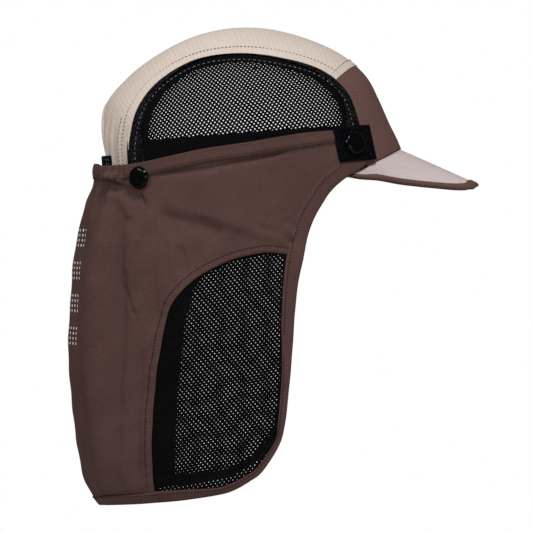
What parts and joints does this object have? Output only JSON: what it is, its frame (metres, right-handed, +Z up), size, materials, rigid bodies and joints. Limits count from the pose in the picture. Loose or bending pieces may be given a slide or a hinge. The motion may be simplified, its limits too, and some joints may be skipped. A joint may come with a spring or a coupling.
{
  "type": "cap with neck cape",
  "caption": "Soft five-panel cap with mesh sides, a stiff peak and a brown neck cape with mesh insets, snapped on over the rim.",
  "frame": {"origin": "middle of the head opening, level with the rim at the sides", "axes": "+X to the front of the cap, +Y to the wearer's left, +Z up"},
  "size_m": [0.2782, 0.1674, 0.3242],
  "materials": {
    "beige_ripstop": "matte",
    "peak_ripstop": "matte",
    "brown_nylon": "satin",
    "brown_panel": "satin",
    "black_mesh": "matte",
    "black_webbing": "matte",
    "black_gloss": "gloss"
  },
  "bodies": {
    "root": {"crown_strip": "beige_ripstop", "front_panel": "brown_panel", "side_mesh_right": "black_mesh", "side_mesh_left": "black_mesh", "binding_right": "black_webbing", "binding_left": "black_webbing", "sweatband": "black_webbing", "back_strap": "black_webbing", "peak": "peak_ripstop", "peak_edging": "brown_nylon", "tab_right": "black_webbing", "tab_left": "black_webbing", "snap_front_right": "black_gloss", "snap_front_left": "black_gloss", "snap_rear_right": "black_gloss", "snap_rear_left": "black_gloss", "cape_top_band": "brown_nylon", "cape_body": "brown_nylon", "cape_mesh_right": "black_mesh", "cape_mesh_left": "black_mesh", "cape_hem": "brown_nylon"}
  },
  "joints": []
}
